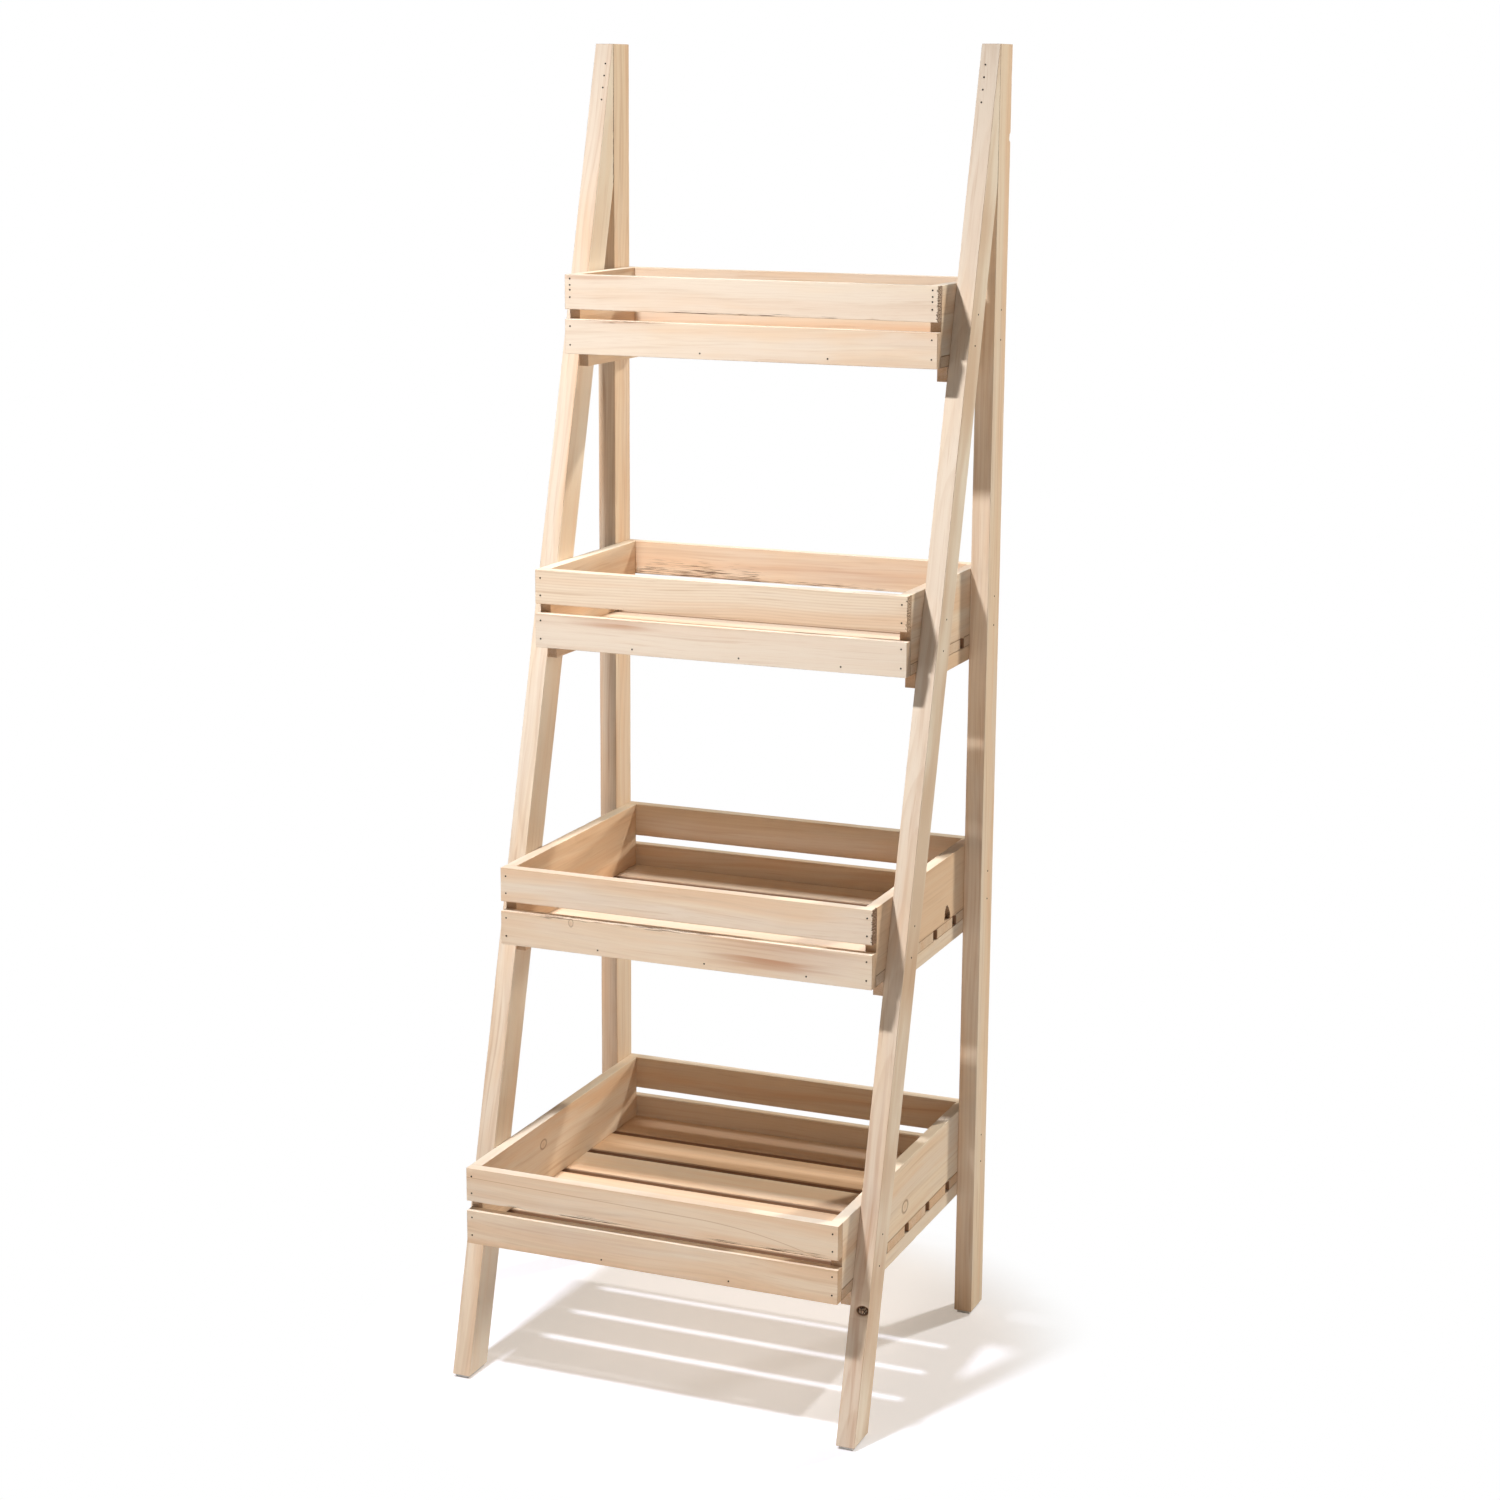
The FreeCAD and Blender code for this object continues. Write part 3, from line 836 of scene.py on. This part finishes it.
# %% Wood finish
def limed_softwood(name):
    """Wood in layers: grown colour, flaws, edges and torn fibre, with a bump along the fibres.

    Torn fibre shows as dashes along the board, and as flecks on its end."""
    material, tree, shader, start = new_material(name)
    wood = wood_wires(start)
    late = late_wood(wood)
    fray = wood.dash + (wood.fleck - wood.dash) * wood.share_along.between(0.968, 0.978)
    torn = (fray + wood.scar * 0.30).between(0.66, 0.78) * wood.scar.between(0.0, 0.12)
    torn_layers = [(torn * 0.8, BROWN), (torn * fray.between(0.42, 0.6) * 0.7, DARK)]
    ground = start.blend((wood.streak + wood.tan * 0.10).between(0.36, 0.66), CREAM, PEACH)
    colour = layered(ground, *grown_layers(wood, late), *flaw_layers(wood), *edge_layers(wood), *torn_layers)
    height = wood.fibre * 0.5 - late * 0.4 + wood.streak * 0.3 - torn * 1.5

    bump = start.node("ShaderNodeBump", {}, {"Strength": 0.12, "Distance": 0.0004, "Height": height})
    tree.links.new(colour.socket, shader.inputs["Base Color"])
    tree.links.new((0.66 - late * 0.1).socket, shader.inputs["Roughness"])
    tree.links.new(bump.socket, shader.inputs["Normal"])
    shader.inputs["Specular IOR Level"].default_value = 0.1
    return material


softwood = limed_softwood("limed_softwood")
print("finish:", softwood.name, len(softwood.node_tree.nodes), "nodes")

# %% [markdown]
# ## The boards
# Each solid gives its own box, and its name says what it is. One piece replaces one solid.
# The front legs lean, so they are described by level slices: at each height the slice runs
# from the front face back to the rear face, or to the post where the leg lies on it.
# No two boards of a rack are alike, so each has a word for its look, and a board with no
# word of its own draws one by chance.

# %% Looks of the boards
# The mood that a word stands for.
WORDS = {
    "pale": (-0.6, 0.10, 0.5),
    "cream": (-0.2, 0.15, 0.2),
    "chalky": (-0.2, 0.05, 1.2),
    "peach": (0.4, 0.15, -0.1),
    "lined": (0.0, 1.00, -0.4),
    "sandy": (0.9, 0.25, -0.4),
    "streaky": (0.0, 0.60, 0.0),
    "bleached": (-0.5, 0.70, 0.5),
}
# Where the heart of the log lay, for words whose lines hang on it: its angle, and metres.
CUTS = {"lined": (0.1, 0.085), "bleached": (0.15, 0.06)}
LOOKS = {
    "front_leg_left": "streaky", "front_leg_right": "bleached",
    "rear_post_left": "streaky", "rear_post_right": "streaky",
    "tray_1_front_upper_slat": "chalky", "tray_1_front_lower_slat": "pale",
    "tray_2_front_upper_slat": "lined", "tray_2_front_lower_slat": "chalky",
    "tray_3_front_upper_slat": "cream", "tray_3_front_lower_slat": "peach",
    "tray_4_front_upper_slat": "peach", "tray_4_front_lower_slat": "peach",
    "tray_2_back_upper_slat": "cream", "tray_2_side_board_left": "cream",
    # Painted light and shade in board tone: the front floor slats of tray 3 are pale where they lie lit, and
    # tray 4's floor slats turn tan towards the back, where its floor lies in shade.
    "tray_3_floor_slat_1": "pale", "tray_3_floor_slat_2": "pale",
    "tray_4_floor_slat_3": "peach", "tray_4_floor_slat_4": "peach",
    "tray_4_floor_slat_5": "sandy", "tray_4_floor_slat_6": "sandy",
}
CHANCE = {
    "slat": ["pale", "pale", "cream"],
    "floor": ["pale", "pale", "cream"],
    "side": ["peach", "sandy", "cream"],
}
MOOD_SPREAD = 0.08
MOOD_SPREAD_SHARES = (1, 0.3, 1)
HEART_NEAR = 0.03
HEART_FAR = 0.09


def look_of(node, kind, rng):
    """The mood of a board, from its word, a little off, and how it was cut from the log."""
    word = LOOKS.get(node) or rng.choice(CHANCE[kind])
    mood = np.array(WORDS[word]) + rng.normal(0, MOOD_SPREAD, 3) * MOOD_SPREAD_SHARES
    cut = (rng.uniform(0, 2 * math.pi), rng.uniform(HEART_NEAR, HEART_FAR))
    return mood, CUTS.get(word, cut)


print("words for looks:", sorted(WORDS))

# %% Boards from the solids
LEAN = math.radians(15)
LEG_BAR_DEEP = 0.045
LEG_DEPTH = LEG_BAR_DEEP / math.cos(LEAN)
KINDS = {"floor": "floor", "slat": "slat", "side": "side", "cleat": "side", "post": "post"}
FIRST_SEED = 100


def leg_slices(node):
    """Middle and half sizes of a leg, and a function from height to its slice's centre and half depth."""
    low, high = (np.array(v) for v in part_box(node))
    middle, half = (low + high) / 2, (high - low) / 2
    seam = high[1]

    def spread(w):
        """From the leaning front to a bar's depth behind it, but not past the seam with the post."""
        front = low[1] + (w + half[2]) * math.tan(LEAN)
        rear = np.minimum(front + LEG_DEPTH, seam)
        return (front + rear) / 2 - middle[1], (rear - front) / 2

    return middle, (half[2], half[0], half[1]), spread


def kind_of(node):
    """The word for how a solid's board lies, from the first of the words that its name holds."""
    return next((kind for word, kind in KINDS.items() if word in node), "leg")


def dress(node, rng):
    """A board in place of one solid."""
    kind = kind_of(node)
    mood, cut = look_of(node, kind, rng)
    if kind == "leg":
        middle, half, spread = leg_slices(node)
        mesh = board_mesh(node, kind, middle, half, rng, mood, cut, spread, LEAN)
    else:
        low, high = (np.array(v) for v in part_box(node))
        middle = (low + high) / 2
        half = np.abs(np.array(AXES[kind]) @ (high - low)) / 2
        mesh = board_mesh(node, kind, middle, half, rng, mood, cut)
    piece = bpy.data.objects.new(f"{node}_board", mesh)
    bpy.context.scene.collection.objects.link(piece)
    piece.data.materials.append(softwood)
    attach(piece, "root")
    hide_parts(node)
    "frame_wood" if kind in ("leg", "post") else "tray_wood"
    return piece


boards = {}
wooden = [node for node in sorted(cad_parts) if "nails" not in node and node != "foot_pads"]
for number, node in enumerate(wooden):
    boards[node] = dress(node, np.random.default_rng(FIRST_SEED + number))
print("boards:", len(boards), "with", sum(len(b.data.polygons) for b in boards.values()), "faces")

# %% [markdown]
# ## Nails and pads
# The nails' heads are small dark discs, and the pads are pale grey felt. Their solids already
# have the right shape, so they only get a finish.

# %% Nail and pad finishes
RUST_BLOTCHES = 900
FELT_HAIRS = 1500


def dark_steel():
    """Near-black steel with a little rust, in blotches of about a millimetre."""
    material, tree, shader, start = new_material("dark_nail_steel")
    place = start.node("ShaderNodeTexCoord", output="Object")
    rust = place.scaled(RUST_BLOTCHES, RUST_BLOTCHES, RUST_BLOTCHES).noise(2.0).between(0.45, 0.7)
    colour = start.blend(rust, tone(16, 13, 12), tone(34, 22, 16))
    tree.links.new(colour.socket, shader.inputs["Base Color"])
    tree.links.new((0.55 + rust * 0.3).socket, shader.inputs["Roughness"])
    shader.inputs["Specular IOR Level"].default_value = 0.05
    return material


def grey_felt():
    """Pale grey felt: fine fuzz in colour and in height."""
    material, tree, shader, start = new_material("grey_felt")
    place = start.node("ShaderNodeTexCoord", output="Object")
    fuzz = place.scaled(FELT_HAIRS, FELT_HAIRS, FELT_HAIRS).noise(3.0, 0.7)
    colour = start.blend(fuzz, tone(214, 213, 214), tone(242, 242, 243))
    bump = start.node("ShaderNodeBump", {}, {"Strength": 0.4, "Distance": 0.0005, "Height": fuzz})
    tree.links.new(colour.socket, shader.inputs["Base Color"])
    tree.links.new(bump.socket, shader.inputs["Normal"])
    shader.inputs["Roughness"].default_value = 0.95
    return material


def refinish(node, material):
    """Gives a solid that stays a new finish."""
    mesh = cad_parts[node].data
    mesh.materials.clear()
    mesh.materials.append(material)


steel = dark_steel()
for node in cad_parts:
    if "nails" in node:
        refinish(node, steel)
refinish("foot_pads", grey_felt())
print("finishes:", [m.name for m in bpy.data.materials if m.users])

# %% [markdown]
# ## Stage and light
# The rack stands in a white studio. One small lamp above the front throws the crisp shadows of
# the trays. Two warm lamps behind on the right, one high and one low, light the outer sides and
# the inner left faces, while the legs shade the front of the right side boards. A wide weak lamp
# in front and a faint room fill the rest. One large lamp would be simpler, but would lose these
# shadows. The floor glows a little where it is seen, so that it is white where it is lit and pale
# warm in the shadow. The white is made only for rays that are seen: they come straight from the
# camera, or were mirrored or bent on their way. So it adds no scattered light to the wood.

# %% Lamps
def add_lamp(name, place, target, size, watts, colour=(1, 1, 1)):
    """A round soft lamp at a place, looking at a target."""
    light = bpy.data.lights.new(name, "AREA")
    light.shape = "DISK"
    light.size = size
    light.energy = watts
    light.color = colour
    lamp = bpy.data.objects.new(name, light)
    bpy.context.scene.collection.objects.link(lamp)
    lamp.location = place
    lamp.rotation_mode = "QUATERNION"
    lamp.rotation_quaternion = (Vector(target) - Vector(place)).to_track_quat("-Z", "Y")


WARM = (1.0, 0.93, 0.78)
WARMER = (1.0, 0.89, 0.78)
add_lamp("key_lamp", place=(-0.33, -1.06, 2.5), target=(-0.33, -1.7, 0.6), size=0.2, watts=77.5)
add_lamp("side_lamp_high", place=(1.7, 2.9, 3.6), target=(0, 0, 0.7), size=0.2, watts=108, colour=WARM)
add_lamp("side_lamp_low", place=(2.6, 4.0, 1.25), target=(0, 0, 0.7), size=0.5, watts=82, colour=WARM)
add_lamp("front_fill", place=(2.6, -3.6, 1.6), target=(0, 0, 0.6), size=2.0, watts=10, colour=WARMER)
print("lamps:", [lamp.name for lamp in bpy.data.lights])

# %% White floor
WHITE = (1, 1, 1, 1)
LIT_FLOOR = (0.65, 0.69, 0.83, 1)
GLOW = (0.47, 0.42, 0.36, 1)
PAINTED_SHADE_GLOW = (0.36, 0.32, 0.27, 1)
SCATTERING_FLOOR = (0.88, 0.88, 0.88, 1)
# Where the glow weakens to the right as painted shade, and where the floor turns pure white, in metres.
WEAK_FROM, WEAK_TO = 0.13, 0.25
WHITE_FROM, WHITE_TO = 0.31, 0.48
FLOOR_REACH = 40.0


def seen_rays(start):
    """1 for rays from the camera and for mirrored or bent ones, 0 for light that is scattered."""
    camera, glossy, bent = (start.node("ShaderNodeLightPath", output=name)
                            for name in ("Is Camera Ray", "Is Glossy Ray", "Is Transmission Ray"))
    return start.maths("MAXIMUM", start.maths("MAXIMUM", camera, glossy), bent)


def white_floor():
    """Glow plus lit white where it is seen, plain white for scattered light, and pure glow far away.

    The glow is weaker to the right, as painted shade, where the lamps behind reach under the rack and
    lighten the floor's shadow."""
    material, tree, shader, start = new_material("white_floor")
    x, y, _ = start.node("ShaderNodeTexCoord", output="Object").parts()
    far = x.reach(y).between(WHITE_FROM, WHITE_TO)
    tint = start.blend(x.between(WEAK_FROM, WEAK_TO), GLOW, PAINTED_SHADE_GLOW)
    lit = start.node("ShaderNodeBsdfDiffuse", {}, {"Color": LIT_FLOOR})
    glow = start.node("ShaderNodeEmission", {}, {"Color": tint, "Strength": 1.0})
    near = start.node("ShaderNodeAddShader", {}, {0: lit, 1: glow})
    white = start.node("ShaderNodeEmission", {}, {"Color": WHITE, "Strength": 1.0})
    shown = start.node("ShaderNodeMixShader", {}, {0: far, 1: near, 2: white})
    plain = start.node("ShaderNodeBsdfDiffuse", {}, {"Color": SCATTERING_FLOOR})
    mixed = start.node("ShaderNodeMixShader", {}, {0: seen_rays(start), 1: plain, 2: shown})
    tree.nodes.remove(shader)
    tree.links.new(mixed.socket, tree.nodes["Material Output"].inputs["Surface"])
    return material


floor_mesh = bpy.data.meshes.new("floor")
corners = [(x * FLOOR_REACH, y * FLOOR_REACH, 0) for x, y in ((-1, -1), (1, -1), (1, 1), (-1, 1))]
floor_mesh.from_pydata(corners, [], [(0, 1, 2, 3)])
floor_mesh.materials.append(white_floor())
floor = bpy.data.objects.new("floor", floor_mesh)
bpy.context.scene.collection.objects.link(floor)
print("floor:", 2 * FLOOR_REACH, "m wide")

# %% White room
FILL = 0.03
world = bpy.data.worlds.new("white_room")
bpy.context.scene.world = world
world.use_nodes = True
room = Wire(world.node_tree)
fill = room.node("ShaderNodeBackground", {}, {"Color": WHITE, "Strength": FILL})
white = room.node("ShaderNodeBackground", {}, {"Color": WHITE, "Strength": 1.0})
sky = room.node("ShaderNodeMixShader", {}, {0: seen_rays(room), 1: fill, 2: white})
world.node_tree.links.new(sky.socket, world.node_tree.nodes["World Output"].inputs["Surface"])
print("room: fill", FILL)

# %% [markdown]
# ## Camera
# The viewpoint was found by fitting the rack's known corners to the picture: it stands at eye
# height, to the front right, and looks slightly down. A camera placed by eye would show the
# same rack, but its lines would not fall where the picture has them.

# %% Camera
CAMERA_PLACE = (1.35866, -3.22381, 1.54226)
AZIMUTH = 22.4208
PITCH = 12.5361
ROLL = 0.3609
FOCAL_PIXELS = 2957.49
FRAME_PIXELS = 1500
SENSOR_MM = 36.0


def look(azimuth, pitch, roll):
    """The camera's right, up and backward directions from its three angles, as rows."""
    a, p, r = (math.radians(v) for v in (azimuth, pitch, roll))
    ahead = np.array([-math.sin(a) * math.cos(p), math.cos(a) * math.cos(p), -math.sin(p)])
    right = np.array([math.cos(a), math.sin(a), 0])
    up = np.cross(right, ahead)
    right, up = right * math.cos(r) + up * math.sin(r), up * math.cos(r) - right * math.sin(r)
    return np.array([right, up, -ahead])


def add_camera(place, turn, focal_share):
    """A camera at a place, its lens from the focal length as a share of a square frame's width."""
    data = bpy.data.cameras.new("camera")
    data.sensor_width = SENSOR_MM
    data.lens = SENSOR_MM * focal_share
    camera = bpy.data.objects.new("camera", data)
    bpy.context.scene.collection.objects.link(camera)
    matrix = np.eye(4)
    matrix[:3, :3] = turn.T
    matrix[:3, 3] = place
    camera.matrix_world = Matrix(matrix.tolist())
    bpy.context.scene.camera = camera
    return camera


camera = add_camera(CAMERA_PLACE, look(AZIMUTH, PITCH, ROLL), FOCAL_PIXELS / FRAME_PIXELS)
bpy.context.scene.view_settings.view_transform = "Standard"
print("camera: lens", round(camera.data.lens, 2), "mm")
